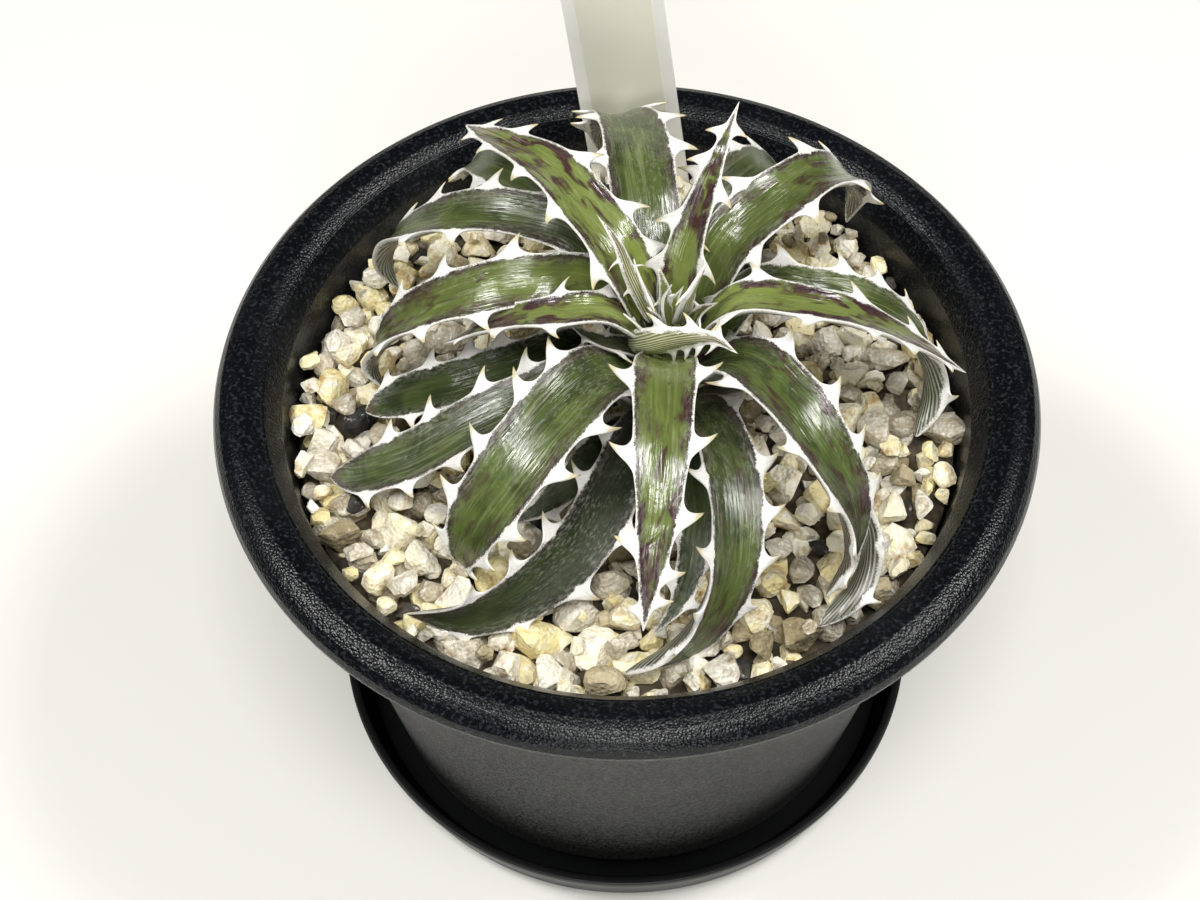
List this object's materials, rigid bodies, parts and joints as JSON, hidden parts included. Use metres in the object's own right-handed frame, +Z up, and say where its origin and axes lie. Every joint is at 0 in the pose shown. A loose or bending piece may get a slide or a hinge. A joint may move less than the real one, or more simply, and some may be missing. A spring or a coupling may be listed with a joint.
{
  "type": "dyckia bromeliad in a pot",
  "caption": "Spiny rosette of thick arching leaves growing in a round plastic pot of stone grit, with a blank plant label, on a saucer.",
  "frame": {"origin": "centre of the saucer's underside, on the axis of the pot", "axes": "+Z up along the axis of the pot; +Y towards the side where the plant label stands; +X to the right when the label is at the back"},
  "size_m": [0.126, 0.126, 0.1319],
  "materials": {
    "saucer_plastic": "black moulded plastic, satin",
    "pot_plastic": "near-black moulded plastic, satin, finely grained, dusty at the rim",
    "stem": "pale fibrous crown, matt",
    "heart_leaf": "young leaf, pale green striped with cream, soft sheen",
    "leaf": "thick green leaf, fine grooves along it, pale felted margins and spines, satin",
    "aged_leaf": "old leaf, dark green with pale scurf, matt",
    "label_plastic": "white sheet plastic, satin",
    "label_tape": "cream adhesive tape, blank, soft gloss",
    "grit": "mixed mineral grit, dry, matt",
    "pumice": "cream pumice, porous, matt",
    "quartz": "broken grey-white quartz, slightly translucent, satin",
    "clay": "baked clay grain, tan to orange-brown, matt",
    "lava": "dark lava grain, porous, matt"
  },
  "bodies": {
    "root": {"saucer": "saucer_plastic", "pot": "pot_plastic", "stem": "stem", "heart_leaf_1": "heart_leaf", "heart_leaf_2": "heart_leaf", "heart_leaf_3": "heart_leaf", "heart_leaf_4": "heart_leaf", "heart_leaf_5": "heart_leaf", "inner_leaf_1": "leaf", "inner_leaf_2": "leaf", "inner_leaf_3": "leaf", "inner_leaf_4": "leaf", "inner_leaf_5": "leaf", "inner_leaf_6": "leaf", "middle_leaf_1": "leaf", "middle_leaf_2": "leaf", "middle_leaf_3": "leaf", "middle_leaf_4": "leaf", "middle_leaf_5": "leaf", "outer_leaf_1": "leaf", "outer_leaf_2": "leaf", "outer_leaf_3": "leaf", "outer_leaf_4": "leaf", "outer_leaf_5": "leaf", "outer_leaf_6": "leaf", "outer_leaf_7": "aged_leaf", "outer_leaf_8": "aged_leaf", "outer_leaf_9": "aged_leaf", "outer_leaf_10": "leaf", "outer_leaf_11": "aged_leaf", "plant_label": "label_plastic", "label_tape": "label_tape", "gravel_bed": "grit", "stone_01": "quartz", "stone_02": "quartz", "stone_03": "pumice", "stone_04": "pumice", "stone_05": "clay", "stone_06": "pumice", "stone_07": "pumice", "stone_08": "quartz", "stone_09": "pumice", "stone_10": "lava", "stone_11": "pumice", "stone_12": "clay", "stone_13": "pumice", "stone_14": "quartz", "stone_15": "quartz", "stone_16": "quartz", "stone_17": "quartz", "stone_18": "pumice"}
  },
  "joints": []
}
